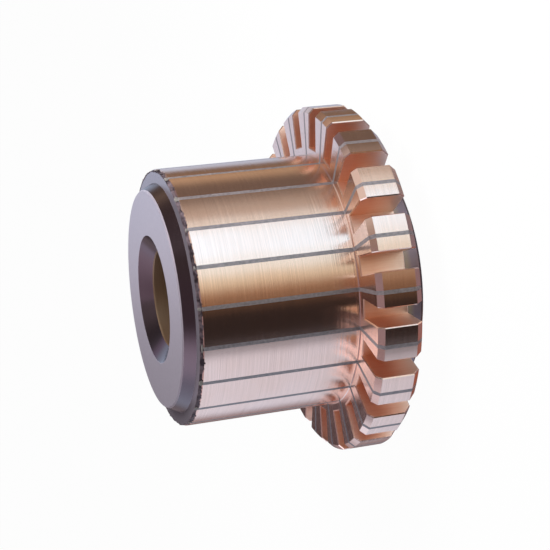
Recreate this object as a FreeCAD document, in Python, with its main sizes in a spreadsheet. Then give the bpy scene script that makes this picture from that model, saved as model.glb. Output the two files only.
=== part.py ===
import FreeCAD, Part

import os

import Sketcher

# Slotted-riser moulded commutator of a small direct-current motor.
#
# It stands on the rear end of its moulding, the riser end, with the axis along +Z. The origin is
# the middle of that end. The copper bars and the mica plates between them form one closed ring
# with the same section all round. The moulding compound fills that ring inside, grips the hooks
# of the bars round two steel hoops, and holds the brass bush that is pressed on the shaft.
#
# Bar 1 is centred on +X, and the others follow it anticlockwise seen from the front.

PARTS_FOLDER = "parts"
EDGE_MATCH = 1e-5

# Driving dimensions in millimetres: name, value, what it is
DRIVING_SIZES = [
    ("bar_count", "21", "copper bars in the ring, with a mica plate after each"),
    ("brush_radius", "20", "radius of the turned surface that the brushes run on"),
    ("brush_length", "24.28", "from the front end of the copper to the riser"),
    ("riser_width", "7.12", "width of the riser along the axis"),
    ("riser_height", "7.5", "how far the riser stands above the brush surface"),
    ("riser_front_chamfer", "0.82", "turned on the riser's outer corner, brush side"),
    ("riser_rear_chamfer", "1.2", "turned on the riser's outer corner, winding side"),
    ("root_bevel", "0.12", "left by the tool where the brush surface meets the riser"),
    ("end_chamfer", "0.25", "turned on the copper's front corner"),
    ("mica_thickness", "0.6", "insulation between two bars"),
    ("slot_width", "2.85", "lead slot sawn through each riser"),
    ("slot_step", "1.25", "floor of the lead slot above the brush surface"),
    ("slot_offset", "0.35", "middle of the lead slot aside from the bar's middle"),
    ("slot_edge", "0.15", "broken edge round the lead slot"),
    ("bore_radius", "7.5", "radius of the bush bore, which is pressed on the shaft"),
    ("bush_wall", "1.6", "wall of the bush at its ends"),
    ("bush_waist_depth", "0.5", "waist in the bush that the compound grips"),
    ("bush_end_land", "6.0", "full-diameter land at each end of the bush"),
    ("bush_chamfer", "0.2", "lead-in at the ends of the bore"),
    ("insulation_wall", "2.6", "compound between the bush and the bars"),
    ("hook_thickness", "1.2", "root thickness of a bar's hook, along the radius"),
    ("hook_taper", "0.3", "how much thinner the hook is at its tip"),
    ("hook_drop", "1.5", "tip of the hook below the end of the copper"),
    ("hoop_clearance", "0.35", "compound between a hoop and the copper"),
    ("hoop_thickness", "1.2", "section of a hoop along the radius"),
    ("hoop_length", "1.8", "section of a hoop along the axis"),
    ("hoop_drop", "1.9", "outer side of a hoop below the end of the copper"),
    ("groove_draft", "0.5", "how much wider the hook groove is at its mouth"),
    ("boss_rise", "2.19", "front face of the moulding beyond the copper"),
    ("boss_inset", "3.0", "edge of the front face inside the brush surface"),
    ("boss_taper", "0.9", "how much wider the boss is at its foot"),
    ("boss_edge", "0.2", "broken edge round the front face"),
    ("collar_rise", "0.3", "compound over the copper's end, round the foot of the boss"),
    ("countersink_depth", "1.8", "lead-in cone of the moulding, along the axis"),
    ("countersink_width", "2.45", "lead-in cone of the moulding, along the radius"),
    ("bush_ledge", "0.1", "rim of the bush's end that shows inside the cone"),
    ("rear_boss_height", "3.8", "rear end of the moulding beyond the riser"),
    ("rear_boss_inset", "1.5", "side of the rear boss inside the brush surface"),
    ("rear_boss_chamfer", "0.4", "broken edge round the rear boss"),
]

document = FreeCAD.newDocument("commutator")
sheet = document.addObject("Spreadsheet::Sheet", "sizes")
for row, (alias, number, meaning) in enumerate(DRIVING_SIZES, start=1):
    sheet.set("A" + str(row), meaning)
    sheet.set("B" + str(row), number)
    sheet.setAlias("B" + str(row), alias)
document.recompute()

# Formulas in the sheet's sizes, each written once and used by every piece that meets there.
# Radii first, then heights above the rear end, then the angle between two bars.
BRUSH_R = "sizes.brush_radius"
RISER_R = "(sizes.brush_radius + sizes.riser_height)"
BORE_R = "sizes.bore_radius"
BUSH_R = "(sizes.bore_radius + sizes.bush_wall)"
BUSH_WAIST_R = "(" + BUSH_R + " - sizes.bush_waist_depth)"
CORE_R = "(" + BUSH_R + " + sizes.insulation_wall)"
HOOK_R = "(" + CORE_R + " + sizes.hook_thickness)"
HOOK_TIP_R = "(" + HOOK_R + " - sizes.hook_taper)"
HOOP_INNER_R = "(" + HOOK_R + " + sizes.hoop_clearance)"
HOOP_OUTER_R = "(" + HOOP_INNER_R + " + sizes.hoop_thickness)"
GROOVE_R = "(" + HOOP_OUTER_R + " + sizes.hoop_clearance)"
GROOVE_MOUTH_R = "(" + GROOVE_R + " + sizes.groove_draft)"
SLOT_FLOOR = "(sizes.brush_radius + sizes.slot_step)"
COPPER_EDGE_R = "(sizes.brush_radius - sizes.end_chamfer)"

RISER_REAR_Z = "sizes.rear_boss_height"
RISER_FRONT_Z = "(" + RISER_REAR_Z + " + sizes.riser_width)"
COPPER_END_Z = "(" + RISER_FRONT_Z + " + sizes.brush_length)"
FRONT_FACE_Z = "(" + COPPER_END_Z + " + sizes.boss_rise)"
BUSH_END_Z = "(" + FRONT_FACE_Z + " - sizes.countersink_depth)"
GROOVE_DEPTH = "(sizes.hoop_drop + sizes.hoop_length + sizes.hoop_clearance)"

HALF_PITCH = "(180 / sizes.bar_count)"
HALF_MICA = "(sizes.mica_thickness / 2)"


def origin_feature(body, role):
    """The plane or axis of a body's own origin that has the given role."""
    for feature in body.Origin.OriginFeatures:
        if feature.Role == role:
            return feature
    raise ValueError("no origin feature called " + role)


def add_outline(sketch, corners):
    """Adds one closed outline of straight edges to a sketch.

    Each corner is a pair of formulas, one for each direction of the sketch, and every corner
    is held by those two formulas alone, so the outline has no other freedom."""
    first = sketch.GeometryCount
    count = len(corners)
    rough = [FreeCAD.Vector(1, 0, 0)]
    for turn in range(1, count):
        rotation = FreeCAD.Rotation(FreeCAD.Vector(0, 0, 1), 360 * turn / count)
        rough.append(rotation.multVec(rough[0]))
    for index in range(count):
        edge = Part.LineSegment(rough[index], rough[(index + 1) % count])
        sketch.addGeometry(edge)
    for index in range(count):
        following = first + (index + 1) % count
        sketch.addConstraint(Sketcher.Constraint("Coincident", first + index, 2, following, 1))
    for index, (across, up) in enumerate(corners):
        for kind, formula in (("DistanceX", across), ("DistanceY", up)):
            held = Sketcher.Constraint(kind, -1, 1, first + index, 1, 1.0)
            number = sketch.addConstraint(held)
            sketch.setExpression("Constraints[" + str(number) + "]", formula)


def sketch_on(body, role, name):
    """A new empty sketch on one of the body's own origin planes."""
    sketch = body.newObject("Sketcher::SketchObject", name)
    sketch.AttachmentSupport = (origin_feature(body, role), [""])
    sketch.MapMode = "FlatFace"
    return sketch


def turned_body(label, outlines):
    """A body turned all round the axis from a section in radius and height."""
    body = document.addObject("PartDesign::Body", label)
    body.Label = label
    section = sketch_on(body, "XZ_Plane", label + "_section")
    for outline in outlines:
        add_outline(section, outline)
    turning = body.newObject("PartDesign::Revolution", label + "_turning")
    turning.Profile = section
    turning.ReferenceAxis = (section, ["V_Axis"])
    turning.Angle = 360
    return body, turning


def ring_outside():
    """Outer side of the ring's section, from the rear face over the riser to the front end."""
    return [
        ("(" + RISER_R + " - sizes.riser_rear_chamfer)", RISER_REAR_Z),
        (RISER_R, "(" + RISER_REAR_Z + " + sizes.riser_rear_chamfer)"),
        (RISER_R, "(" + RISER_FRONT_Z + " - sizes.riser_front_chamfer)"),
        ("(" + RISER_R + " - sizes.riser_front_chamfer)", RISER_FRONT_Z),
        ("(" + BRUSH_R + " + sizes.root_bevel)", RISER_FRONT_Z),
        (BRUSH_R, "(" + RISER_FRONT_Z + " + sizes.root_bevel)"),
        (BRUSH_R, "(" + COPPER_END_Z + " - sizes.end_chamfer)"),
        (COPPER_EDGE_R, COPPER_END_Z),
    ]


def ring_inside():
    """Inner side of the ring's section, from the front end round both hooks to the rear face."""
    return [
        (GROOVE_MOUTH_R, COPPER_END_Z),
        (GROOVE_R, "(" + COPPER_END_Z + " - " + GROOVE_DEPTH + ")"),
        (HOOK_R, "(" + COPPER_END_Z + " - " + GROOVE_DEPTH + ")"),
        (HOOK_TIP_R, "(" + COPPER_END_Z + " - sizes.hook_drop)"),
        (CORE_R, "(" + COPPER_END_Z + " - sizes.hook_drop)"),
        (CORE_R, "(" + RISER_REAR_Z + " + sizes.hook_drop)"),
        (HOOK_TIP_R, "(" + RISER_REAR_Z + " + sizes.hook_drop)"),
        (HOOK_R, "(" + RISER_REAR_Z + " + " + GROOVE_DEPTH + ")"),
        (GROOVE_R, "(" + RISER_REAR_Z + " + " + GROOVE_DEPTH + ")"),
        (GROOVE_MOUTH_R, RISER_REAR_Z),
    ]


def hoop_section(outer_side_z, inner_side_z):
    """Section of a hoop between the two heights of its sides."""
    return [
        (HOOP_INNER_R, outer_side_z),
        (HOOP_OUTER_R, outer_side_z),
        (HOOP_OUTER_R, inner_side_z),
        (HOOP_INNER_R, inner_side_z),
    ]


def front_hoop_section():
    side = "(" + COPPER_END_Z + " - sizes.hoop_drop)"
    return hoop_section(side, "(" + side + " - sizes.hoop_length)")


def rear_hoop_section():
    side = "(" + RISER_REAR_Z + " + sizes.hoop_drop)"
    return hoop_section(side, "(" + side + " + sizes.hoop_length)")


def bush_waist(at_front):
    """Corners of the bush's waist at one end, from the end towards the middle."""
    land = "sizes.bush_end_land"
    slope = "sizes.bush_waist_depth"
    if at_front:
        return [
            (BUSH_R, "(" + BUSH_END_Z + " - " + land + ")"),
            (BUSH_WAIST_R, "(" + BUSH_END_Z + " - " + land + " - " + slope + ")"),
        ]
    return [
        (BUSH_R, land),
        (BUSH_WAIST_R, "(" + land + " + " + slope + ")"),
    ]


def bush_section():
    """Section of the bush: bore with lead-ins, and a waist outside."""
    inner = [
        (BORE_R, "(" + BUSH_END_Z + " - sizes.bush_chamfer)"),
        (BORE_R, "sizes.bush_chamfer"),
        ("(" + BORE_R + " + sizes.bush_chamfer)", "0"),
        (BUSH_R, "0"),
    ]
    outer = bush_waist(False) + bush_waist(True)[::-1]
    return inner + outer + [
        (BUSH_R, BUSH_END_Z),
        ("(" + BORE_R + " + sizes.bush_ledge)", BUSH_END_Z),
    ]


def moulding_section():
    """Section of the compound: both bosses outside, and inside all that it flows round."""
    boss_r = "(sizes.brush_radius - sizes.boss_inset)"
    boss_foot_r = "(" + boss_r + " + sizes.boss_taper)"
    rear_r = "(sizes.brush_radius - sizes.rear_boss_inset)"
    front = [
        ("(" + BORE_R + " + sizes.bush_ledge)", BUSH_END_Z),
        ("(" + BORE_R + " + sizes.countersink_width)", FRONT_FACE_Z),
        ("(" + boss_r + " - sizes.boss_edge)", FRONT_FACE_Z),
        (boss_r, "(" + FRONT_FACE_Z + " - sizes.boss_edge)"),
        (boss_foot_r, "(" + COPPER_END_Z + " + sizes.collar_rise)"),
        (COPPER_EDGE_R, "(" + COPPER_END_Z + " + sizes.collar_rise)"),
        (COPPER_EDGE_R, COPPER_END_Z),
    ]
    rear = [
        (rear_r, RISER_REAR_Z),
        (rear_r, "sizes.rear_boss_chamfer"),
        ("(" + rear_r + " - sizes.rear_boss_chamfer)", "0"),
        (BUSH_R, "0"),
    ]
    around_bush = bush_waist(False) + bush_waist(True)[::-1] + [(BUSH_R, BUSH_END_Z)]
    return front + ring_inside() + rear + around_bush


def polar(radius, angle, aside):
    """Formulas of the point at a radius along a direction, moved aside from that direction."""
    return (
        "(" + radius + " * cos(" + angle + ") + " + aside + " * sin(" + angle + "))",
        "(" + radius + " * sin(" + angle + ") - " + aside + " * cos(" + angle + "))",
    )


def pocket_through(body, name, outline):
    """Cuts an outline in the XY plane through the whole length of the body."""
    sketch = sketch_on(body, "XY_Plane", name + "_outline")
    add_outline(sketch, outline)
    pocket = body.newObject("PartDesign::Pocket", name)
    pocket.Profile = sketch
    pocket.Type = "ThroughAll"
    pocket.SideType = "Symmetric"
    return pocket


def mirror_across_middle(body, name, pocket):
    """Repeats a pocket on the other side of the body's middle plane."""
    mirror = body.newObject("PartDesign::Mirrored", name)
    mirror.Originals = [pocket]
    mirror.MirrorPlane = (origin_feature(body, "XZ_Plane"), [""])
    body.Tip = mirror
    return mirror


def break_slot_edges(body, name, pocket):
    """Breaks the sharp edges that the saw leaves along both walls and the floor of the slot."""
    document.recompute()
    half_width = float(sheet.get("slot_width")) / 2
    middle = float(sheet.get("slot_offset"))
    floor = float(sheet.get("brush_radius")) + float(sheet.get("slot_step"))
    chosen = []
    for number, edge in enumerate(pocket.Shape.Edges, start=1):
        ends = [vertex.Point for vertex in edge.Vertexes]
        on_wall = all(abs(abs(end.y - middle) - half_width) < EDGE_MATCH for end in ends)
        on_floor = all(abs(end.x - floor) < EDGE_MATCH for end in ends)
        across = abs(ends[0].y - ends[-1].y) > half_width
        if (on_wall and not on_floor) or (on_wall and on_floor and across):
            chosen.append("Edge" + str(number))
    chamfer = body.newObject("PartDesign::Chamfer", name)
    chamfer.Base = (pocket, chosen)
    chamfer.setExpression("Size", "sizes.slot_edge")
    return chamfer


def make_bar(label):
    """A copper bar: the ring's section turned through one pitch, with room left for the mica
    on both sides and the lead slot sawn along it, a little aside from its middle."""
    body, turning = turned_body(label, [ring_outside() + ring_inside()])
    turning.Midplane = True
    turning.setExpression("Angle", "2 * " + HALF_PITCH)
    beyond = "(" + RISER_R + " + 1)"
    within = "(" + CORE_R + " - 1)"
    mica_room = pocket_through(body, label + "_mica_room", [
        polar(within, HALF_PITCH, HALF_MICA),
        polar(beyond, HALF_PITCH, HALF_MICA),
        polar(beyond, HALF_PITCH, "-" + HALF_MICA),
        polar(within, HALF_PITCH, "-" + HALF_MICA),
    ])
    mirror_across_middle(body, label + "_mica_room_mirror", mica_room)
    low_wall = "(sizes.slot_offset - sizes.slot_width / 2)"
    high_wall = "(sizes.slot_offset + sizes.slot_width / 2)"
    slot = pocket_through(body, label + "_lead_slot", [
        (SLOT_FLOOR, low_wall),
        (beyond, low_wall),
        (beyond, high_wall),
        (SLOT_FLOOR, high_wall),
    ])
    break_slot_edges(body, label + "_slot_edges", slot)
    return body


def make_mica(label):
    """A mica plate: the same section, trimmed to two flat sides."""
    body, turning = turned_body(label, [ring_outside() + ring_inside()])
    turning.Midplane = True
    turning.setExpression("Angle", "6 * asin(" + HALF_MICA + " / " + CORE_R + ")")
    beyond = "(" + RISER_R + " + 1)"
    within = "(" + CORE_R + " - 1)"
    far_side = "(10 * " + HALF_MICA + ")"
    trim = pocket_through(body, label + "_trim", [
        (within, HALF_MICA),
        (beyond, HALF_MICA),
        (beyond, far_side),
        (within, far_side),
    ])
    mirror_across_middle(body, label + "_trim_mirror", trim)
    return body


def repeat_round(first, stem, start):
    """Copies of a body round the axis, one for each bar, the first a share of a pitch on."""
    count = int(float(sheet.get("bar_count")))
    copies = []
    for index in range(count):
        label = stem + "_" + str(index + 1).zfill(2)
        body = document.addObject("PartDesign::Body", label)
        body.Label = label
        copy = body.newObject("PartDesign::FeatureBase", label + "_copy")
        copy.BaseFeature = first
        body.Tip = copy
        body.Placement = FreeCAD.Placement(
            FreeCAD.Vector(0, 0, 0), FreeCAD.Rotation(FreeCAD.Vector(0, 0, 1), 1))
        turn = "(" + str(index) + " + " + str(start) + ") * 2 * " + HALF_PITCH
        body.setExpression("Placement.Rotation.Angle", turn)
        copies.append(body)
    return copies


bar = make_bar("bar_pattern")
mica = make_mica("mica_pattern")
bush, _ = turned_body("shaft_bush", [bush_section()])
front_hoop, _ = turned_body("front_hoop", [front_hoop_section()])
rear_hoop, _ = turned_body("rear_hoop", [rear_hoop_section()])
moulding, _ = turned_body(
    "moulded_body", [moulding_section(), front_hoop_section(), rear_hoop_section()])
document.recompute()

bars = repeat_round(bar, "copper_bar", 0)
micas = repeat_round(mica, "mica_plate", 0.5)
document.recompute()

pieces = bars + micas + [moulding, bush, front_hoop, rear_hoop]

for item in document.Objects:
    if "Invalid" in item.State or "Error" in item.State:
        raise RuntimeError(item.Label + " could not be computed: " + str(item.State))
for piece in pieces:
    if piece.Shape.isNull() or not piece.Shape.isValid():
        raise RuntimeError(piece.Label + " has no valid shape")

os.makedirs(PARTS_FOLDER, exist_ok=True)
for piece in pieces:
    piece.Shape.exportStep(PARTS_FOLDER + "/" + piece.Label + ".step")
print("wrote", len(pieces), "pieces")
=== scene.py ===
# %% [markdown]
# A moulded commutator, the copper part of a small motor that the brushes run on. Twenty-one
# hard-drawn copper bars stand in a ring with a thin mica plate between each two. Black phenolic
# compound is moulded into the ring and grips a brass bush, and at the end the whole ring is
# turned on a lathe and a lead slot is sawn through each riser.
#
# The solids come finished from the construction model and stay where they are. What this script
# adds is what the turning, the sawing and the moulding leave to be seen: lines round the brush
# surface, saw marks in the slots, frayed mica, a skin of compound that crept over the copper's end.

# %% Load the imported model
import math

import bpy
import numpy as np
from mathutils import Matrix, Vector


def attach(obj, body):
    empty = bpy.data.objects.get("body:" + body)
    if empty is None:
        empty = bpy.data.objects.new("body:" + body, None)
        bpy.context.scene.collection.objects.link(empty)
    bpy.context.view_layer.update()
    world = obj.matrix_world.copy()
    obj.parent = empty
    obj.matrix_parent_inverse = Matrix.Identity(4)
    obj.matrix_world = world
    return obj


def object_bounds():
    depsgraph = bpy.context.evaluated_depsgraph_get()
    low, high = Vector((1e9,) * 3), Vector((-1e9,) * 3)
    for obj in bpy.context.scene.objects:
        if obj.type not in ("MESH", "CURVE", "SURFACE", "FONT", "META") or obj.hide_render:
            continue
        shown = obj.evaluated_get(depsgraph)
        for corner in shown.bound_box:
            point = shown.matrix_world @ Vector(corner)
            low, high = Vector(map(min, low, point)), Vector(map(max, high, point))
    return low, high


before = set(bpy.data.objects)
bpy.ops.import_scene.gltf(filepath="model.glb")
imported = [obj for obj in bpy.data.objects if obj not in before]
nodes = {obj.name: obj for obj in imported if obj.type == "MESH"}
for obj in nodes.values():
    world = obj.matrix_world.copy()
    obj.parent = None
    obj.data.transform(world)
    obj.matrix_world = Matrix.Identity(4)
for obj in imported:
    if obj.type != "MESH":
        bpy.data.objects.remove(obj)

cad_low, cad_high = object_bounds()
MM = 0.001
print("nodes:", len(nodes))
print("size in mm:", [round(side / MM, 2) for side in cad_high - cad_low])

# %% [markdown]
# Every size that the finishes need is read from the solids, so that a pattern stays on its
# surface when the model changes. One bar tells nearly everything: its highest and lowest points
# are the ends of the copper, and the widest radius near the front end is the turned surface that
# the brushes run on. The corners that stand out further belong to the riser, and those of them
# close to the bar's middle are the corners of the lead slot.

# %% Sizes read from the solids
SAME = 0.01 * MM  # two places closer together than this count as one
END_ZONE = 3 * MM  # the brush surface is longer than this
RISER_STEP = 0.5 * MM  # only a riser stands out further than this
SLOT_SEARCH = 2.3 * MM  # more than half a slot, less than half a riser
COLLAR_SEARCH = 0.7  # no collar further in than this share of the brush radius


def corners_of(name):
    """All corners of a node as an array of x, y, z."""
    mesh = nodes[name].data
    flat = np.empty(len(mesh.vertices) * 3)
    mesh.vertices.foreach_get("co", flat)
    return flat.reshape(-1, 3)


def radii(corners):
    """Each corner's distance from the axis."""
    return np.hypot(corners[:, 0], corners[:, 1])


bar_names = sorted(name for name in nodes if name.startswith("copper_bar"))
mica_names = sorted(name for name in nodes if name.startswith("mica_plate"))
pitch = 2 * math.pi / len(bar_names)

bar = corners_of(bar_names[0])
copper_end = bar[:, 2].max()
riser_rear = bar[:, 2].min()
brush_radius = radii(bar)[bar[:, 2] > copper_end - END_ZONE].max()
edge_radius = radii(bar)[bar[:, 2] > copper_end - SAME].max()
riser = bar[radii(bar) > brush_radius + RISER_STEP]
riser_front = riser[:, 2].max()
slot = riser[np.abs(riser[:, 1]) < SLOT_SEARCH]
slot_low = slot[slot[:, 1] < 0, 1].max()
slot_high = slot[slot[:, 1] > 0, 1].min()
slot_floor = slot[:, 0].min()

body = corners_of("moulded_body")
front_face = body[:, 2].max()
collar_top = body[np.abs(radii(body) - edge_radius) < SAME, 2].max()
collar = body[np.abs(body[:, 2] - collar_top) < SAME]
foot_radius = radii(collar)[radii(collar) > COLLAR_SEARCH * brush_radius].min()
bore_radius = radii(corners_of("shaft_bush")).min()
for label, size in [
    ("copper end", copper_end), ("riser front", riser_front), ("riser rear", riser_rear),
    ("brush radius", brush_radius), ("edge radius", edge_radius), ("slot wall", slot_low),
    ("other slot wall", slot_high), ("slot floor", slot_floor), ("front face", front_face),
    ("collar top", collar_top), ("boss foot", foot_radius), ("bore radius", bore_radius),
]:
    print(label, round(size / MM, 3), "mm")

# %% [markdown]
# Materials are built from nodes. Colours are written as sRGB hex values, the way a paint chart or
# a picture editor gives them, and one function turns them to the linear values that Blender
# mixes. A second small function adds any node, with its settings and its links, so that each
# material reads as a list of steps. The other two start an empty material and put a finished one
# on the solids that it belongs to.

# %% Colour and node helpers


def colour(hex_code):
    """Linear red, green, blue and alpha of an sRGB hex code."""
    parts = [int(hex_code[i:i + 2], 16) / 255 for i in (1, 3, 5)]
    linear = [p / 12.92 if p <= 0.04045 else ((p + 0.055) / 1.055) ** 2.4 for p in parts]
    return (*linear, 1.0)


def add_node(tree, kind, settings=None, inputs=None):
    """Adds a node, sets its properties, and fills its inputs by name or number.

    An input may be a plain value, another node, whose first output is then linked, or one
    output of a node."""
    made = tree.nodes.new("ShaderNode" + kind)
    for name, value in (settings or {}).items():
        setattr(made, name, value)
    for key, value in (inputs or {}).items():
        if isinstance(value, bpy.types.Node):
            tree.links.new(value.outputs[0], made.inputs[key])
        elif isinstance(value, bpy.types.NodeSocket):
            tree.links.new(value, made.inputs[key])
        else:
            made.inputs[key].default_value = value
    return made


def new_material(name):
    """An empty node material, its tree, and the object coordinates that all patterns read."""
    material = bpy.data.materials.new(name)
    material.use_nodes = True
    material.node_tree.nodes.clear()
    place = add_node(material.node_tree, "TexCoord").outputs["Object"]
    return material, material.node_tree, place


def dress(names, finish):
    """Gives the named nodes one material in place of the plain one they came with."""
    for name in names:
        nodes[name].data.materials.clear()
        nodes[name].data.materials.append(finish)
    print("solids in", finish.name + ":", len(names))


print("half-bright grey in linear light:", round(colour("#808080")[0], 3))

# %% [markdown]
# The ring repeats every pitch, so one material can serve all the bars if it knows where it is
# inside its own bar. The angle round the axis is divided by the pitch, and what is left after
# rounding is the angle from the middle of the nearest bar. With the radius that gives two
# lengths: the height above the axis along the bar's middle, and the distance aside from it.

# %% Coordinates of the axis and of the nearest bar


def axis_coordinates(tree, place):
    """Outputs for the distance from the axis and for z."""
    z = add_node(tree, "SeparateXYZ", None, {0: place}).outputs[2]
    flat = add_node(tree, "VectorMath", {"operation": "MULTIPLY"}, {0: place, 1: (1, 1, 0)})
    radius = add_node(tree, "VectorMath", {"operation": "LENGTH"}, {0: flat}).outputs["Value"]
    return radius, z


def bar_coordinates(tree, place, radius):
    """Outputs for the height along the nearest bar's middle and the distance aside from it."""
    x, y, _ = add_node(tree, "SeparateXYZ", None, {0: place}).outputs
    angle = add_node(tree, "Math", {"operation": "ARCTAN2"}, {0: y, 1: x})
    turns = add_node(tree, "Math", {"operation": "DIVIDE"}, {0: angle, 1: pitch})
    whole = add_node(tree, "Math", {"operation": "ROUND"}, {0: turns})
    left = add_node(tree, "Math", {"operation": "SUBTRACT"}, {0: turns, 1: whole})
    within = add_node(tree, "Math", {"operation": "MULTIPLY"}, {0: left, 1: pitch})
    cosine = add_node(tree, "Math", {"operation": "COSINE"}, {0: within})
    sine = add_node(tree, "Math", {"operation": "SINE"}, {0: within})
    height = add_node(tree, "Math", {"operation": "MULTIPLY"}, {0: radius, 1: cosine})
    aside = add_node(tree, "Math", {"operation": "MULTIPLY"}, {0: radius, 1: sine})
    return height, aside


print("one pitch is", round(math.degrees(pitch), 3), "degrees")

# %% [markdown]
# Lathe lines run round the axis. A noise texture that is stretched far along the turning
# direction and squeezed across it gives lines of uneven depth, as a worn tool leaves them. The
# squeezed direction is the radius plus the height: on a cylinder only the height changes, on a
# flat face only the radius, so the same lines fit both, and the chamfers too.

# %% Lathe lines


def lathe_lines(tree, place, radius, z, spacing, run):
    """Noise with one feature per spacing across the cut, and per run along it, in metres."""
    across = add_node(tree, "Math", {"operation": "ADD"}, {0: radius, 1: z})
    squeezed = add_node(tree, "Math", {"operation": "DIVIDE"}, {0: across, 1: spacing})
    stretched = add_node(tree, "VectorMath", {"operation": "SCALE"}, {0: place, 3: 1 / run})
    x, y, _ = add_node(tree, "SeparateXYZ", None, {0: stretched}).outputs
    vector = add_node(tree, "CombineXYZ", None, {0: x, 1: y, 2: squeezed})
    return add_node(
        tree, "TexNoise", {"noise_dimensions": "3D"},
        {"Vector": vector, "Scale": 1.0, "Detail": 2.0, "Roughness": 0.6}).outputs["Fac"]


print("brush surface", round((copper_end - riser_front) / MM, 2), "mm long")

# %% [markdown]
# Hard-drawn copper has two finishes here, from two tools. The slitting saw leaves the lead slots
# rough, and they are painted redder than the rest: painted light for the light that bounces between
# the two walls and comes back more orange each time. Both finishes are one material, and the place
# in the bar decides between them, so that no face has to be picked by hand. The sawn part comes
# first: a mask that finds the slot, marks that run the way of the saw, and a colour of painted
# light that turns paler towards the rear as a painted highlight.

# %% Copper where it was sawn
SAW_MARK = 0.2 * MM  # a saw's real marks are finer and wouldn't show in the picture
SAW_RUN = 5 * MM
PAINTED_HIGHLIGHT_REACH = 2 * MM  # painted highlight: the cut turns paler from this far behind the riser's front
EDGE_TOLERANCE = 0.02 * MM  # a mask reaches this far past its face


def sawn_mask(tree, height, aside):
    """One between the walls of the lead slot and above its floor, nought elsewhere."""
    above_floor = add_node(
        tree, "Math", {"operation": "GREATER_THAN"}, {0: height, 1: slot_floor - EDGE_TOLERANCE})
    middle = (slot_low + slot_high) / 2
    reach = (slot_high - slot_low) / 2 + EDGE_TOLERANCE
    centred = add_node(tree, "Math", {"operation": "SUBTRACT"}, {0: aside, 1: middle})
    apart = add_node(tree, "Math", {"operation": "ABSOLUTE"}, {0: centred})
    between = add_node(tree, "Math", {"operation": "LESS_THAN"}, {0: apart, 1: reach})
    return add_node(tree, "Math", {"operation": "MULTIPLY"}, {0: above_floor, 1: between})


def saw_noise(tree, height, aside, z):
    """Marks that run along the axis, as the saw did."""
    vector = add_node(tree, "CombineXYZ", None, {0: height, 1: aside, 2: z})
    scaled = add_node(
        tree, "VectorMath", {"operation": "MULTIPLY"},
        {0: vector, 1: (1 / SAW_MARK, 1 / SAW_MARK, 1 / SAW_RUN)})
    return add_node(
        tree, "TexNoise", {"noise_dimensions": "3D"},
        {"Vector": scaled, "Scale": 1.0, "Detail": 2.0}).outputs["Fac"]


def sawn_colour_painted_light(tree, z, saw_marks):
    """Painted light: redder where the slot opens to the front, for light bounced between the walls,
    and paler towards the rear, a painted highlight.
    """
    rearward = add_node(
        tree, "MapRange", None,
        {"Value": z, "From Min": riser_front - PAINTED_HIGHLIGHT_REACH, "From Max": riser_rear})
    painted_bounce_red = add_node(
        tree, "MixRGB", None, {0: saw_marks, 1: colour("#EDB698"), 2: colour("#F8CDB6")})
    painted_highlight = add_node(
        tree, "MixRGB", None, {0: saw_marks, 1: colour("#F6D9C8"), 2: colour("#FEEDE1")})
    return add_node(tree, "MixRGB", None, {0: rearward, 1: painted_bounce_red, 2: painted_highlight})


print("lead slots", round((slot_high - slot_low) / MM, 2), "mm wide")

# %% [markdown]
# The lathe leaves a bright, slightly streaked mirror. The turned lines are a bump, so they smear
# every reflection along the bar, and they also make the copper a little lighter and darker, which
# draws the streaks that run round the brush surface. A metal's base colour is the tint of what it
# mirrors, so the copper's own colours are pale, and the room of the studio does the rest.

# %% Copper where it was turned
# A lathe feeds about 0.05 mm a turn, too fine to show in the picture, so the lines are coarser.
FINE_LINES = 0.16 * MM
FINE_RUN = 30 * MM
COARSE_LINES = 0.45 * MM
COARSE_RUN = 14 * MM
LINE_DEPTH = 0.02 * MM
LINE_RANGE = (0.75, 1.25)  # the fine and the coarse noise together hardly leave it
STREAK_TONES = (0.96, 1.02)
CLOUD = 6 * MM  # fingerprints and a first touch of tarnish
TURNED_ROUGHNESS = 0.2
SAWN_ROUGHNESS = 0.48


def turned_colour(tree, place, turned):
    """Fresh pink copper, clouded, a little darker and lighter with the turned lines."""
    cloud = add_node(
        tree, "TexNoise", {"noise_dimensions": "3D"},
        {"Vector": place, "Scale": 1 / CLOUD, "Detail": 3.0}).outputs["Fac"]
    fresh = add_node(
        tree, "MixRGB", None, {0: cloud, 1: colour("#F3CBB6"), 2: colour("#F9D9CA")})
    streak = add_node(tree, "MapRange", None, {
        "Value": turned, "From Min": LINE_RANGE[0], "From Max": LINE_RANGE[1],
        "To Min": STREAK_TONES[0], "To Max": STREAK_TONES[1]})
    return add_node(tree, "VectorMath", {"operation": "SCALE"}, {0: fresh, 3: streak})


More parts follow.
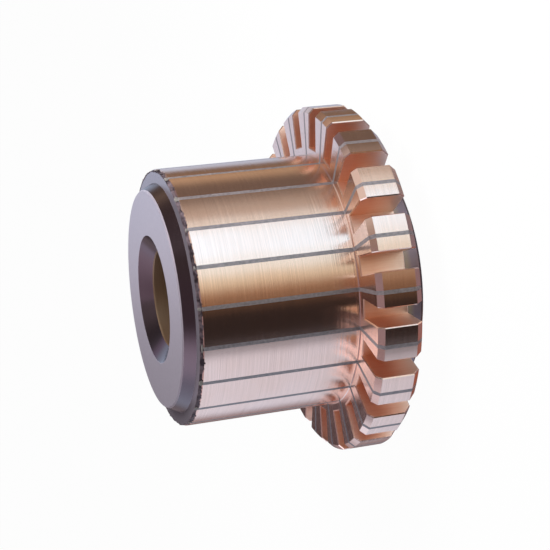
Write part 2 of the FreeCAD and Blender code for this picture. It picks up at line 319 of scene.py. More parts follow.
def hard_drawn_copper():
    """To the eye a pink metal mirror, streaked round the axis, rough in the slots, where painted
    light makes it redder and a painted highlight paler towards the rear.
    """
    material, tree, place = new_material("hard_drawn_copper")
    radius, z = axis_coordinates(tree, place)
    height, aside = bar_coordinates(tree, place, radius)
    sawn = sawn_mask(tree, height, aside)
    saw_marks = saw_noise(tree, height, aside, z)
    fine = lathe_lines(tree, place, radius, z, FINE_LINES, FINE_RUN)
    coarse = lathe_lines(tree, place, radius, z, COARSE_LINES, COARSE_RUN)
    turned = add_node(tree, "Math", {"operation": "ADD"}, {0: fine, 1: coarse})

    base = add_node(tree, "MixRGB", None, {
        0: sawn, 1: turned_colour(tree, place, turned), 2: sawn_colour_painted_light(tree, z, saw_marks)})
    rough = add_node(
        tree, "Mix", {"data_type": "FLOAT"}, {0: sawn, 2: TURNED_ROUGHNESS, 3: SAWN_ROUGHNESS})
    lines = add_node(tree, "Mix", {"data_type": "FLOAT"}, {0: sawn, 2: turned, 3: saw_marks})
    bump = add_node(
        tree, "Bump", None, {"Strength": 1.0, "Distance": LINE_DEPTH, "Height": lines})
    tangent = add_node(tree, "Tangent", {"direction_type": "RADIAL", "axis": "Z"})
    shader = add_node(tree, "BsdfPrincipled", None, {
        "Base Color": base, "Metallic": 1.0, "Roughness": rough,
        "Anisotropic": 0.6, "Anisotropic Rotation": 0.25, "Normal": bump, "Tangent": tangent})
    add_node(tree, "OutputMaterial", None, {"Surface": shader})
    return material


dress(bar_names, hard_drawn_copper())

# %% [markdown]
# Mica plates are split mica flakes bonded with shellac, cut to the bar's outline and pressed
# between the bars. On their edges the flakes lie like the leaves of a closed book: grey-brown,
# grainy, and with a slight sheen where the lathe cut them cleanly. The front ends, which were cut
# last, are a little paler. The IOR is above mica's own 1.6, because the tool wipes copper dust
# over the edge and it mirrors more than clean mica does.

# %% Mica: grey-brown and grainy, paler at the front ends
MICA_GRAIN = 0.35 * MM  # single flakes are finer and wouldn't show in the picture
MICA_RELIEF = 0.03 * MM
PALE_FROM = 0.5 * MM  # the front end turns pale from here
PALE_FULL = 0.2 * MM  # to here, both behind the copper's end


def bonded_mica():
    """To the eye a dull, speckled line between two bright bars, faintly glossy."""
    material, tree, place = new_material("bonded_mica_plate")
    z = add_node(tree, "SeparateXYZ", None, {0: place}).outputs[2]
    grain = add_node(
        tree, "TexNoise", {"noise_dimensions": "3D"},
        {"Vector": place, "Scale": 1 / MICA_GRAIN, "Detail": 4.0, "Roughness": 0.7}).outputs["Fac"]
    spread = add_node(
        tree, "MapRange", None, {"Value": grain, "From Min": 0.3, "From Max": 0.72})
    flakes = add_node(
        tree, "MixRGB", None, {0: spread, 1: colour("#4F4547"), 2: colour("#918587")})
    at_end = add_node(
        tree, "MapRange", None,
        {"Value": z, "From Min": copper_end - PALE_FROM, "From Max": copper_end - PALE_FULL})
    base = add_node(tree, "MixRGB", None, {0: at_end, 1: flakes, 2: colour("#8C8280")})
    bump = add_node(
        tree, "Bump", None, {"Strength": 0.6, "Distance": MICA_RELIEF, "Height": grain})
    shader = add_node(tree, "BsdfPrincipled", None, {
        "Base Color": base, "Roughness": 0.45, "IOR": 2.1, "Normal": bump})
    add_node(tree, "OutputMaterial", None, {"Surface": shader})
    return material


dress(mica_names, bonded_mica())

# %% [markdown]
# The phenolic compound comes out of the press with a glossy black skin, which the sloping side of
# the boss, the countersink and the collar's rim still have. Where the lathe cut it, on the flat
# front with its broken outer edge, the fillers lie open and the face turns a matt lavender grey.
# The collar beside the copper gets a mix halfway between skin and cut face, so it is darker than
# the flat front. The height and the radius tell which face is which, and here they make a mask of
# the cut faces.

# %% Where the compound was cut
COLLAR_SHARE = 0.5  # the collar's mix, from the skin's tone and roughness at nought to the cut face's at one
BROKEN_EDGE = 0.21 * MM  # height of the broken edge round the flat front
OUTSIDE_BORE = 0.8  # that edge lies further out than this share of the boss's foot


def cut_mask(tree, radius, z):
    """One on the flat front and its outer edge, part of it on the collar, nought elsewhere."""
    by_the_edge = add_node(
        tree, "Math", {"operation": "GREATER_THAN"}, {0: z, 1: front_face - BROKEN_EDGE})
    outside_bore = add_node(
        tree, "Math", {"operation": "GREATER_THAN"}, {0: radius, 1: OUTSIDE_BORE * foot_radius})
    outer_edge = add_node(
        tree, "Math", {"operation": "MULTIPLY"}, {0: by_the_edge, 1: outside_bore})
    flat_front = add_node(
        tree, "Math", {"operation": "COMPARE"}, {0: z, 1: front_face, 2: EDGE_TOLERANCE})
    in_front = add_node(tree, "Math", {"operation": "MAXIMUM"}, {0: outer_edge, 1: flat_front})
    outside_foot = add_node(
        tree, "Math", {"operation": "GREATER_THAN"}, {0: radius, 1: foot_radius - EDGE_TOLERANCE})
    collar_height = add_node(
        tree, "Math", {"operation": "COMPARE"}, {0: z, 1: collar_top, 2: EDGE_TOLERANCE})
    on_collar = add_node(
        tree, "Math", {"operation": "MULTIPLY"}, {0: outside_foot, 1: collar_height})
    collar_share = add_node(tree, "Math", {"operation": "MULTIPLY"}, {0: on_collar, 1: COLLAR_SHARE})
    return add_node(tree, "Math", {"operation": "MAXIMUM"}, {0: in_front, 1: collar_share})


print("boss", round((front_face - collar_top) / MM, 2), "mm high")

# %% [markdown]
# At the rear the boss is a dull olive next to the copper and greyer behind, and only its chamfer is
# dark. The cut faces have shallow lines from the lathe and a little more roughness than the skin.
# The IOR is above the resin's own 1.6 and the mirror light is faintly pink, because copper dust is
# rubbed into the surface.

# %% Phenolic compound
REAR_CHAMFER_TOP = 0.12  # shares of the way from the rear face to the copper
GREY_FROM = 0.4
OLIVE_FROM = 0.6
COMPOUND_LINES = 0.25 * MM  # coarser than the feed, as on the copper
COMPOUND_RUN = 40 * MM
COMPOUND_GRAIN = 0.5 * MM  # clumps of filler
COMPOUND_RELIEF = 0.004 * MM
SKIN_ROUGHNESS = 0.22
CUT_ROUGHNESS = 0.32


def moulded_colour(tree, z, grain):
    """Black skin in front, and the rear boss, olive next to the copper and greyer behind."""
    backward = add_node(
        tree, "MapRange", None,
        {"Value": z, "From Min": OLIVE_FROM * riser_rear, "From Max": GREY_FROM * riser_rear})
    below_copper = add_node(
        tree, "Math", {"operation": "LESS_THAN"}, {0: z, 1: riser_rear + EDGE_TOLERANCE})
    off_chamfer = add_node(
        tree, "Math", {"operation": "GREATER_THAN"}, {0: z, 1: REAR_CHAMFER_TOP * riser_rear})
    rear_band = add_node(tree, "Math", {"operation": "MULTIPLY"}, {0: below_copper, 1: off_chamfer})
    skin = add_node(
        tree, "MixRGB", None, {0: grain, 1: colour("#100B0C"), 2: colour("#191213")})
    rear = add_node(
        tree, "MixRGB", None, {0: backward, 1: colour("#A3A08E"), 2: colour("#8E8A98")})
    return add_node(tree, "MixRGB", None, {0: rear_band, 1: skin, 2: rear})


def phenolic_compound():
    """To the eye black and glossy as moulded, lavender grey and matt where it was cut."""
    material, tree, place = new_material("phenolic_moulding_compound")
    radius, z = axis_coordinates(tree, place)
    cut = cut_mask(tree, radius, z)
    grain = add_node(
        tree, "TexNoise", {"noise_dimensions": "3D"},
        {"Vector": place, "Scale": 1 / COMPOUND_GRAIN, "Detail": 5.0}).outputs["Fac"]
    opened = add_node(
        tree, "MixRGB", None, {0: grain, 1: colour("#8A8490"), 2: colour("#A09AA4")})
    base = add_node(
        tree, "MixRGB", None, {0: cut, 1: moulded_colour(tree, z, grain), 2: opened})
    rough = add_node(
        tree, "Mix", {"data_type": "FLOAT"}, {0: cut, 2: SKIN_ROUGHNESS, 3: CUT_ROUGHNESS})
    lines = lathe_lines(tree, place, radius, z, COMPOUND_LINES, COMPOUND_RUN)
    bump = add_node(
        tree, "Bump", None, {"Strength": 0.3, "Distance": COMPOUND_RELIEF, "Height": lines})
    shader = add_node(tree, "BsdfPrincipled", None, {
        "Base Color": base, "Roughness": rough, "IOR": 2.0,
        "Specular Tint": colour("#FFD6DF"), "Normal": bump})
    add_node(tree, "OutputMaterial", None, {"Surface": shader})
    return material


dress(["moulded_body"], phenolic_compound())

# %% [markdown]
# The bush is a brass tube with a bored hole, dull from the press and from handling, so the light
# that falls into the hole comes back olive brown and not golden.

# %% Brass bush
BORING_LINES = 0.2 * MM  # coarser than the feed, as on the copper
BORING_RUN = 30 * MM
BORING_RELIEF = 0.004 * MM


def turned_brass():
    """To the eye a dull brown metal with fine rings."""
    material, tree, place = new_material("turned_brass_bush")
    radius, z = axis_coordinates(tree, place)
    lines = lathe_lines(tree, place, radius, z, BORING_LINES, BORING_RUN)
    base = add_node(
        tree, "MixRGB", None, {0: lines, 1: colour("#92745A"), 2: colour("#A98A70")})
    bump = add_node(
        tree, "Bump", None, {"Strength": 0.4, "Distance": BORING_RELIEF, "Height": lines})
    shader = add_node(tree, "BsdfPrincipled", None, {
        "Base Color": base, "Metallic": 0.8, "Roughness": 0.55, "Normal": bump})
    add_node(tree, "OutputMaterial", None, {"Surface": shader})
    return material


dress(["shaft_bush"], turned_brass())

# %% [markdown]
# Two steel hoops lie in grooves under the bars' hooks and hold the ring together at speed. The
# compound covers them, so they only show when the model is taken apart.

# %% Steel hoops
ROLLED_LINES = 0.3 * MM  # coarser than the rolls leave them
ROLLED_RUN = 20 * MM


def rolled_steel():
    """To the eye a grey metal, brushed lengthwise by the rolls."""
    material, tree, place = new_material("rolled_steel_hoop")
    radius, z = axis_coordinates(tree, place)
    lines = lathe_lines(tree, place, radius, z, ROLLED_LINES, ROLLED_RUN)
    base = add_node(
        tree, "MixRGB", None, {0: lines, 1: colour("#6E7073"), 2: colour("#9A9C9E")})
    shader = add_node(tree, "BsdfPrincipled", None, {
        "Base Color": base, "Metallic": 1.0, "Roughness": 0.4})
    add_node(tree, "OutputMaterial", None, {"Surface": shader})
    return material


dress(["front_hoop", "rear_hoop"], rolled_steel())

# %% [markdown]
# When the mould closes on the ring, a little compound creeps out over the copper's front edge.
# The lathe takes most of it off, and what is left is a broken line round the copper, here wide and
# there nearly gone, whose dark colour is painted shade of the gap between copper and compound. It
# is a thin closed strip that starts on the collar, goes over the rim and ends on the copper's
# chamfer. How far it reaches each way comes from a sum of waves round the ring, so that it is
# ragged and still meets itself after one turn.

# %% Ragged lengths and closed strips
RAGGED_WAVES = (17, 29, 43, 71, 113, 167, 239)  # waves round the ring, none in step with the bars
WAVE_FALL = 0.35  # finer waves are weaker by this power


def ragged(rng, angle, shortest, longest, power):
    """A length at each angle, between two lengths in mm.

    The sum of waves with random phases is stretched to run from nought to one and raised to a
    power. A high power leaves it short nearly everywhere, with a few long tongues."""
    total = np.zeros(len(angle))
    for waves in RAGGED_WAVES:
        total += np.sin(waves * angle + rng.uniform(0, 2 * math.pi)) / waves ** WAVE_FALL
    share = (total - total.min()) / (total.max() - total.min())
    return (shortest + (longest - shortest) * share ** power) * MM


def closed_grid(around, across):
    """Faces of a grid that closes on itself both ways, around times across points.

    Each face joins a point, its neighbour across, and the same two one step further round."""
    index = np.arange(around * across).reshape(around, across)
    beside = np.roll(index, -1, axis=1)
    ahead, beyond = np.roll(index, -1, axis=0), np.roll(beside, -1, axis=0)
    return np.stack([index, beside, beyond, ahead], axis=-1).reshape(-1, 4).tolist()


def add_piece(name, points, faces, finish):
    """An object made of the given points and faces, riding on the part's one body."""
    mesh = bpy.data.meshes.new(name)
    mesh.from_pydata(points.tolist(), [], faces)
    mesh.polygons.foreach_set("use_smooth", [True] * len(mesh.polygons))
    mesh.materials.append(finish)
    piece = bpy.data.objects.new(name, mesh)
    bpy.context.scene.collection.objects.link(piece)
    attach(piece, "root")
    print(name, len(mesh.polygons), "faces")


print("ragged lengths from", len(RAGGED_WAVES), "waves")

# %% [markdown]
# The strip's section has ten points. Six go over the outside, from the collar to the end of the
# tongue, and four come back just inside the solids, so that the strip is closed and has no loose
# edge. The section is worked out at every angle at once, each point as two arrays.

# %% Flash of compound on the copper's front edge
FLASH_STEPS = 2520
OVER_COLLAR = (0.04, 0.36, 1.3)  # shortest and longest in mm, and the power between them
OVER_COPPER = (0.06, 0.44, 2.0)
CREST_LUMPS = (0.0, 0.14, 3.0)


def flash_with_painted_shade(seed=7):
    """Points and faces of a closed strip round the copper's front edge.

    At each angle the section is a skin of a few hundredths of a millimetre. Its reach over the
    collar, its run over the copper and the lumps on its crest are ragged lengths."""
    rng = np.random.default_rng(seed)
    angle = np.arange(FLASH_STEPS) * 2 * math.pi / FLASH_STEPS
    inward = ragged(rng, angle, *OVER_COLLAR)
    run = ragged(rng, angle, *OVER_COPPER)
    lump = ragged(rng, angle, *CREST_LUMPS)
    level = np.zeros(FLASH_STEPS)
    chamfer = brush_radius - edge_radius

    def on_copper(share, lift):
        """Radius and height at a share of the run, lifted off the copper."""
        along = share * run
        return edge_radius + np.minimum(along, chamfer) + lift, copper_end - along + 0.5 * lift

    sections = [
        # Over the outside, from the collar to the end of the tongue.
        (edge_radius - inward, collar_top - 0.03 * MM + level),
        (edge_radius - 0.8 * inward, collar_top + 0.03 * MM + level),
        (edge_radius + 0.01 * MM + lump, collar_top + 0.02 * MM + 0.5 * lump),
        (edge_radius + 0.05 * MM + lump, copper_end + 0.08 * MM + level),
        on_copper(0.5, 0.045 * MM),
        on_copper(1.0, 0.005 * MM),
        # Back inside the solids.
        on_copper(1.0, -0.03 * MM),
        on_copper(0.5, -0.04 * MM),
        (edge_radius - 0.05 * MM + level, copper_end - 0.03 * MM + level),
        (edge_radius - 0.05 * MM + level, collar_top - 0.04 * MM + level),
    ]
    points = np.stack([
        np.stack([r * np.cos(angle), r * np.sin(angle), h], axis=1) for r, h in sections], axis=1)
    return points.reshape(-1, 3), closed_grid(FLASH_STEPS, len(sections))


flash_points, flash_faces = flash_with_painted_shade()
print("flash with", len(flash_points), "points")

# %% [markdown]
# So thin a skin isn't evenly black. Copper dust sticks to it, so it is dusty mauve between nearly
# black spots, which are painted shade of the gap under it. A noise with a narrow spread keeps the
# two tones apart, and the surface is rough enough that it mirrors nothing clearly.

# %% Thin skin of compound, dark in spots with painted shade
FLASH_GRAIN = 1.5 * MM  # size of the spots of painted shade


def skin_with_painted_shade():
    """To the eye nearly black in spots, which are painted shade, and dusty mauve between them,
    where copper dust sticks.
    """
    material, tree, place = new_material("phenolic_flash_painted_shade")
    grain = add_node(
        tree, "TexNoise", {"noise_dimensions": "3D"},
        {"Vector": place, "Scale": 1 / FLASH_GRAIN, "Detail": 5.0, "Roughness": 0.75})
    spread = add_node(
        tree, "MapRange", None, {"Value": grain, "From Min": 0.4, "From Max": 0.6})
    base = add_node(
        tree, "MixRGB", None, {0: spread, 1: colour("#140E10"), 2: colour("#6E6066")})
    shader = add_node(tree, "BsdfPrincipled", None, {
        "Base Color": base, "Roughness": 0.6, "IOR": 1.5, "Specular Tint": colour("#FFD6DF")})
    add_node(tree, "OutputMaterial", None, {"Surface": shader})
    return material


add_piece("flash_with_painted_shade", flash_points, flash_faces, skin_with_painted_shade())

# %% [markdown]
# The lathe tool can't cut mica cleanly at the edge. It tears a few flakes, and they stay as a
# small pale lip at the front end of each plate, some of them wider than the plate itself. Each
# lip is a flattened ball whose radius is disturbed by a few waves, so that no two are alike. A
# ball on a grid of two angles needs rows of faces and a cap at each pole, the same for each lip.

# %% Faces of a closed ball
LIP_AROUND = 18
LIP_ROWS = 9


def ball_faces(start, around, rows):
    """Faces of one ball: rows of quads, and a fan of triangles round each pole.

    Its points are the rows, each with so many points around, then the low and the high pole."""
    index = start + np.arange((rows - 1) * around).reshape(rows - 1, around)
    beside = np.roll(index, -1, axis=1)
    pole = np.full(around, start + (rows - 1) * around)
    quads = np.stack([index[:-1], beside[:-1], beside[1:], index[1:]], axis=-1).reshape(-1, 4)
    low_fan = np.stack([beside[0], index[0], pole], axis=-1)
    high_fan = np.stack([index[-1], beside[-1], pole + 1], axis=-1)
    return quads.tolist() + low_fan.tolist() + high_fan.tolist()


print("faces of each lip:", len(ball_faces(0, LIP_AROUND, LIP_ROWS)))

# %% [markdown]
# The lips are one array over all plates and one grid of two angles. A generator of random numbers
# with a fixed seed gives each plate its own sizes and waves, and the same ones in every run. A
# lip lies along the slope of the copper's chamfer and stands a little forward of it.

# %% Torn lips at the front ends of the mica
LIP_WIDTH = (0.2, 0.62)  # half sizes in mm, the smallest and the largest
LIP_LENGTH = (0.1, 0.42)
LIP_HEIGHT = (0.07, 0.13)
LIP_WAVES = [(2, 0.22), (3, 0.16), (5, 0.1)]  # waves round a lip, and how much each disturbs it
LIP_FORWARD = 0.05 * MM


def torn_lips(seed=11):
    """Points and faces of one small lump at each plate's front end, each closed at two poles.

    A point is a direction given by two angles, times the three half-sizes of the lump, times
    one plus three waves of those angles with random phases."""
    rng = np.random.default_rng(seed)
    count = len(mica_names)
    turn = (np.arange(count) + 0.5) * pitch
    east = np.arange(LIP_AROUND) * 2 * math.pi / LIP_AROUND
    north = (np.arange(1, LIP_ROWS) / LIP_ROWS - 0.5) * math.pi
    plate, up, side = np.meshgrid(np.arange(count), north, east, indexing="ij")
    phase = rng.uniform(0, 2 * math.pi, (len(LIP_WAVES), count))
    swell = 1 + sum(
        size * np.sin(waves * side + 2 * up + phase[row][plate])
        for row, (waves, size) in enumerate(LIP_WAVES))
    width = rng.uniform(*LIP_WIDTH, count)[plate] * MM
    length = rng.uniform(*LIP_LENGTH, count)[plate] * MM
    height = rng.uniform(*LIP_HEIGHT, count)[plate] * MM

    aside = width * swell * np.cos(up) * np.cos(side)
    along = length * swell * np.cos(up) * np.sin(side)
    out = height * np.sin(up)
    rows = np.stack([out, aside, along], axis=-1).reshape(count, -1, 3)
    poles = np.zeros((count, 2, 3))
    poles[:, 0, 0] = -height[:, 0, 0]
    poles[:, 1, 0] = height[:, 0, 0]
    out, aside, along = np.moveaxis(np.concatenate([rows, poles], axis=1), -1, 0)

    reach = 0.5 * (brush_radius + edge_radius) + out
    cosine, sine = np.cos(turn)[:, None], np.sin(turn)[:, None]
    points = np.stack([
        reach * cosine - aside * sine, reach * sine + aside * cosine,
        copper_end + LIP_FORWARD + along - out], axis=-1)
    each = points.shape[1]
    faces = [face for lip in range(count) for face in ball_faces(lip * each, LIP_AROUND, LIP_ROWS)]
    return points.reshape(-1, 3), faces


lip_points, lip_faces = torn_lips()
print("lips with", len(lip_points), "points")

# %% [markdown]
# Torn flakes stand up and scatter the light, so a lip is paler than the dark line round it and
# hardly shines. A fine grain breaks up its colour, as the edges of single flakes would.

# %% Torn flakes
FLAKE_GRAIN = 0.25 * MM  # edges of flakes, coarser than real ones so that they show


def torn_flakes():
    """To the eye a pale, dull, speckled crumb."""
    material, tree, place = new_material("torn_mica_flakes")
    grain = add_node(
        tree, "TexNoise", {"noise_dimensions": "3D"},
        {"Vector": place, "Scale": 1 / FLAKE_GRAIN, "Detail": 3.0})
    base = add_node(
        tree, "MixRGB", None, {0: grain, 1: colour("#575150"), 2: colour("#9B9490")})
    shader = add_node(tree, "BsdfPrincipled", None, {"Base Color": base, "Roughness": 0.55})
    add_node(tree, "OutputMaterial", None, {"Surface": shader})
    return material


add_piece("mica_lips", lip_points, lip_faces, torn_flakes())

# %% [markdown]
# A sheet of white card carries the shadow. The camera sees it almost as bright as the white
# behind it, so no horizon shows. Mirrors don't see it: the copper would otherwise show the card's
# edge, and the light studio below takes its place. A small dull disc under the bore stands for
# the bench, and only the bush's wall mirrors it.

# %% Floor
FLOOR_GLOW = 0.97
FLOOR_REACH = 3.0
FLOOR_DROP = 0.05 * MM  # below the rear face, so that the two don't share one plane
BENCH_DROP = 0.1 * MM
BENCH_GLOW = 2.0


def add_sheet(name, reach, drop, finish, sides=4):
    """A level sheet with equal sides, each so far from the object's axis as the reach says.

    It lies below the rear face by the drop."""
    mesh = bpy.data.meshes.new(name)
    turns = [(k + 0.5) * 2 * math.pi / sides for k in range(sides)]
    corner = reach / math.cos(math.pi / sides)
    mesh.from_pydata(
        [(corner * math.cos(turn), corner * math.sin(turn), -drop) for turn in turns], [],
        [tuple(range(sides))])
    mesh.materials.append(finish)
    sheet = bpy.data.objects.new(name, mesh)
    bpy.context.scene.collection.objects.link(sheet)
    return sheet


def seen_from_above(tree, shader):
    """The shader on a sheet's upper side; from below the sheet is clear, so the part shows."""
    geometry = add_node(tree, "NewGeometry")
    clear = add_node(tree, "BsdfTransparent")
    return add_node(
        tree, "MixShader", None, {0: geometry.outputs["Backfacing"], 1: shader, 2: clear})


def white_card():
    """Matt white; for the camera it also glows, so that it ends without an edge."""
    material, tree, _ = new_material("white_card")
    path = add_node(tree, "LightPath")
    lit = add_node(tree, "BsdfDiffuse", None, {"Color": colour("#F4F4F4")})
    glow = add_node(tree, "Emission", None, {"Color": (1, 1, 1, 1), "Strength": 1.0})
    seen = add_node(
        tree, "Math", {"operation": "MULTIPLY"},
        {0: path.outputs["Is Camera Ray"], 1: FLOOR_GLOW})
    card = add_node(tree, "MixShader", None, {0: seen, 1: lit, 2: glow})
    add_node(tree, "OutputMaterial", None, {"Surface": seen_from_above(tree, card)})
    return material


def bench_shade():
    """The dim brown-grey that the wall of the bore mirrors."""
    material, tree, _ = new_material("bench_shade")
    glow = add_node(tree, "Emission", None, {"Color": colour("#6E6A64"), "Strength": BENCH_GLOW})
    add_node(tree, "OutputMaterial", None, {"Surface": seen_from_above(tree, glow)})
    return material


floor = add_sheet("floor", FLOOR_REACH, FLOOR_DROP, white_card())
floor.visible_glossy = False
add_sheet("bench", bore_radius, BENCH_DROP, bench_shade(), sides=64)
print("floor", round(FLOOR_DROP / MM, 3), "mm and bench", round(BENCH_DROP / MM, 3), "mm down")

# %% [markdown]
# Polished copper has hardly a colour of its own: it shows the room. The photograph's bars run
# from white through tan to almost black because a softbox, a dark flag and grey walls stand round
# the table, and each bar faces another of them. The world below is that room: four rings of
# upright cards, one for the table top, one about the part's level, one a little above it and one
# overhead. A ring's colour depends on the compass direction round the object's axis, and the
# height of the mirrored ray chooses between the rings.

# %% Cards of the studio
# Each card: from and to, as compass directions in degrees from the camera's side towards the
# picture's upper edge, and its tone. Between two cards the tones blend.
TABLE_CARDS = [
    (-180, -60, "#683F32"),  # table in the object's shade, reddened by the copper
    (-45, -12, "#44352C"),
    (28, 100, "#FFECE0"),  # table in the softbox's light
    (150, 180, "#5E585A"),
]
LOW_CARDS = [
    (-180, -179, "#A4A2B0"),  # wall behind
    (-177, -166, "#2E2628"),  # a dark curtain before it
    (-160, -146, "#6C6266"),  # the curtain's edge
    (-130, -60, "#A2AFC3"),  # cool side card
    (-45, -17, "#1E1A1A"),  # black flag beside the lens
    (-3, -1, "#745D49"),  # warm edge of the flag
    (8, 10, "#A8A796"),  # table front
    (20, 22, "#BACDD2"),  # soft edge of the softbox
    (33, 54, "#C3E3FB"),  # softbox
    (61, 63, "#B5C0C3"),  # its other edge
    (72, 77, "#8A8680"),  # its stand side
    (96, 111, "#524A45"),  # dark corner of the room
    (124, 126, "#8F806C"),  # warm wall
    (134, 144, "#5A4C40"),  # its shaded part
    (150, 156, "#8C97A8"),  # cool wall
    (164, 176, "#8E9AAE"),  # bright wall behind
]
MIDDLE_CARDS = [
    (-180, -170, "#443A40"),  # above the curtain
    (-165, -130, "#A3A1B4"),  # lavender wall
    (-118, -108, "#3A363E"),  # gap beside the side card
    (-95, -55, "#DAE0F4"),  # bright upper part of the side card
    (-32, -8, "#3A343C"),  # above the flag
    (2, 40, "#121011"),  # dark gap between the softbox and the ceiling
    (60, 112, "#443D40"),  # dim wall
    (150, 160, "#857C92"),
    (172, 176, "#6E727F"),
]
TOP_CARDS = [
    (-180, -120, "#C0B8C9"),  # lavender bounce
    (-100, 15, "#685E66"),  # dim ceiling
    (45, 50, "#6C625A"),
    (60, 105, "#A8A6A6"),  # ceiling lamp
    (120, 130, "#2A282C"),  # dark beam
    (160, 180, "#80858F"),
]
# Each ring: its cards, its strength, and the sines of the elevation between which it takes over
# from the ring below it.
RINGS = [
    (TABLE_CARDS, 2.5, (-0.9, -0.8)),
    (LOW_CARDS, 1.9, (-0.72, -0.52)),
    (MIDDLE_CARDS, 2.5, (0.38, 0.5)),
    (TOP_CARDS, 2.0, (0.56, 0.68)),
]
UNDER_TONE = (0.25, 0.21, 0.26)  # straight down, below the table ring
print("cards in the studio, ring by ring from below:", [len(ring[0]) for ring in RINGS])

# %% [markdown]
# Each ring of cards becomes a colour ramp round the compass. The rings are mixed from below by the
# height of the ray, each taking over smoothly from the one under it. In the low ring the light
# grows with height, so that the turned lines, which tilt the mirror up and down, show as streaks.

# %% Rings of cards as nodes
LOW_RING_SINES = (-0.6, 0.0)
LOW_RING_GROWTH = (0.7, 1.3)


def ring_of_cards(tree, compass, cards, strength):
    """A colour ramp round the compass, made of cards, times the ring's strength."""
    ramp = add_node(tree, "ValToRGB", None, {0: compass})
    band = ramp.color_ramp
    band.elements.remove(band.elements[1])
    edges = [(edge, tone) for first, last, tone in cards for edge in (first, last)]
    for index, (degrees, tone) in enumerate(edges):
        where = (degrees + 180) / 360
        stop = band.elements[0] if index == 0 else band.elements.new(where)
        stop.position = where
        stop.color = colour(tone)
    return add_node(tree, "VectorMath", {"operation": "SCALE"}, {0: ramp, 3: strength})


def card_room(tree):
    """The room's colour in the direction of the ray, ring over ring from below."""
    direction = add_node(tree, "TexCoord").outputs["Generated"]
    x, y, z = add_node(tree, "SeparateXYZ", None, {0: direction}).outputs
    back = add_node(tree, "Math", {"operation": "MULTIPLY"}, {0: y, 1: -1.0})
    angle = add_node(tree, "Math", {"operation": "ARCTAN2"}, {0: x, 1: back})
    compass = add_node(
        tree, "MapRange", None, {"Value": angle, "From Min": -math.pi, "From Max": math.pi})
    growth = add_node(tree, "MapRange", None, {
        "Value": z, "From Min": LOW_RING_SINES[0], "From Max": LOW_RING_SINES[1],
        "To Min": LOW_RING_GROWTH[0], "To Max": LOW_RING_GROWTH[1]})
    room = (*UNDER_TONE, 1.0)
    for cards, strength, (start, full) in RINGS:
        ring = ring_of_cards(tree, compass, cards, strength)
        if cards is LOW_CARDS:
            ring = add_node(tree, "VectorMath", {"operation": "SCALE"}, {0: ring, 3: growth})
        over = add_node(
            tree, "MapRange", {"interpolation_type": "SMOOTHSTEP"},
            {"Value": z, "From Min": start, "From Max": full})
        room = add_node(tree, "MixRGB", None, {0: over, 1: room, 2: ring})
    return room


print("low ring at", LOW_RING_GROWTH[0], "to", LOW_RING_GROWTH[1], "of its strength")

# %% [markdown]
# The world asks of each ray what it is for. Mirror rays see the room of cards, the camera sees
# plain white, and matt surfaces get even white light.

# %% World
EVEN_LIGHT = 0.39


def make_world():
    """A room of cards for mirror rays, white for the camera, even light for matt surfaces."""
    world = bpy.data.worlds.new("studio")
    bpy.context.scene.world = world
    world.use_nodes = True
    tree = world.node_tree
    tree.nodes.clear()
    white = (1, 1, 1, 1)
    path = add_node(tree, "LightPath")
    mirrored = add_node(tree, "Background", None, {"Color": card_room(tree), "Strength": 1.0})
    seen = add_node(tree, "Background", None, {"Color": white, "Strength": 1.0})
    even = add_node(tree, "Background", None, {"Color": white, "Strength": EVEN_LIGHT})
    for_light = add_node(
        tree, "MixShader", None, {0: path.outputs["Is Glossy Ray"], 1: even, 2: mirrored})
    for_all = add_node(
        tree, "MixShader", None, {0: path.outputs["Is Camera Ray"], 1: for_light, 2: seen})
    add_node(tree, "OutputWorld", None, {"Surface": for_all})
    print("world with", len(tree.nodes), "nodes")


make_world()

# %% [markdown]
# One soft lamp stands close by, above the picture's upper left. It lights the matt faces from
# above, so the flat front is lighter at its upper edge, and it gives the floor a faint shadow.
# Mirrors don't show it, because the cards already stand for everything they see.

# %% Key lamp
KEY_TOWARDS = (0.7, -0.26, 0.7)
KEY_AWAY = 0.14
KEY_SIZE = 0.09
KEY_WATTS = 0.23


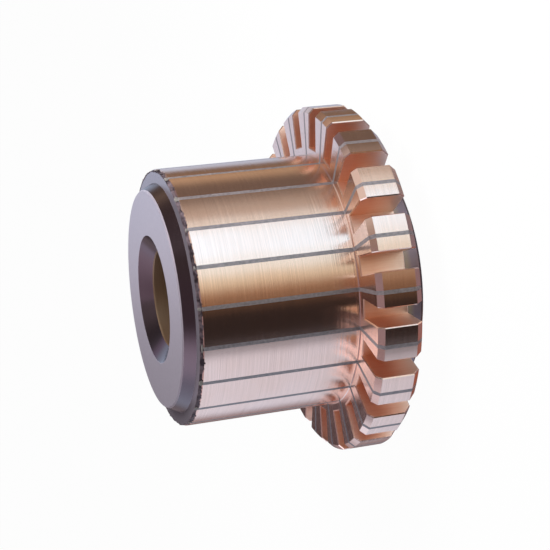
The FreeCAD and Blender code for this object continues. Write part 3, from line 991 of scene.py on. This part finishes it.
def add_lamp(name, towards, distance, size, power):
    """A square area lamp at a distance along a direction from the object's middle."""
    centre = (cad_low + cad_high) / 2
    data = bpy.data.lights.new(name, "AREA")
    data.size = size
    data.energy = power
    lamp = bpy.data.objects.new(name, data)
    direction = Vector(towards).normalized()
    lamp.location = centre + direction * distance
    lamp.rotation_mode = "QUATERNION"
    lamp.rotation_quaternion = direction.to_track_quat("Z", "Y")
    bpy.context.scene.collection.objects.link(lamp)
    lamp.visible_camera = False
    lamp.visible_glossy = False
    print(name, "at", [round(x, 3) for x in lamp.location], "m")


add_lamp("key_softbox", KEY_TOWARDS, KEY_AWAY, KEY_SIZE, KEY_WATTS)

# %% [markdown]
# The camera stands where the photographer's stood. The object's axis runs across the picture, so
# the picture's upper edge is the +X side. The numbers come from fitting the solids' outline to
# the outline in the photograph.

# %% Camera
VIEW_HEIGHT = 35.55 * MM
VIEW_FORWARD = Vector((-0.03664, 0.95388, -0.29797))
VIEW_UP = Vector((0.99335, 0.00218, -0.11518))
VIEW_AWAY = 225.0 * MM
VIEW_RIGHT = -17.062 * MM
VIEW_DOWN = 3.564 * MM
FOCAL_LENGTH = 94.93
SENSOR = 36.0
TURN = math.radians(-0.4)


def make_camera():
    """The camera looks from -Y with the object's axis across the picture.

    Its place is counted from a point on the axis near the front end: so far back along the view,
    and so far aside and down that this point falls where it does in the picture."""
    forward = VIEW_FORWARD.normalized()
    right = forward.cross(VIEW_UP).normalized()
    up = right.cross(forward)
    turn = Matrix.Rotation(TURN, 3, "Z")
    axes = Matrix((turn @ right, turn @ up, turn @ -forward)).transposed()
    offset = right * VIEW_RIGHT - up * VIEW_DOWN + forward * VIEW_AWAY
    data = bpy.data.cameras.new("camera")
    data.sensor_width = SENSOR
    data.lens = FOCAL_LENGTH
    camera = bpy.data.objects.new("camera", data)
    camera.matrix_world = Matrix.Translation(
        Vector((0, 0, VIEW_HEIGHT)) - turn @ offset) @ axes.to_4x4()
    bpy.context.scene.collection.objects.link(camera)
    bpy.context.scene.camera = camera
    print("camera at", [round(x, 3) for x in camera.matrix_world.translation], "m")


make_camera()
bpy.context.scene.view_settings.view_transform = "Standard"
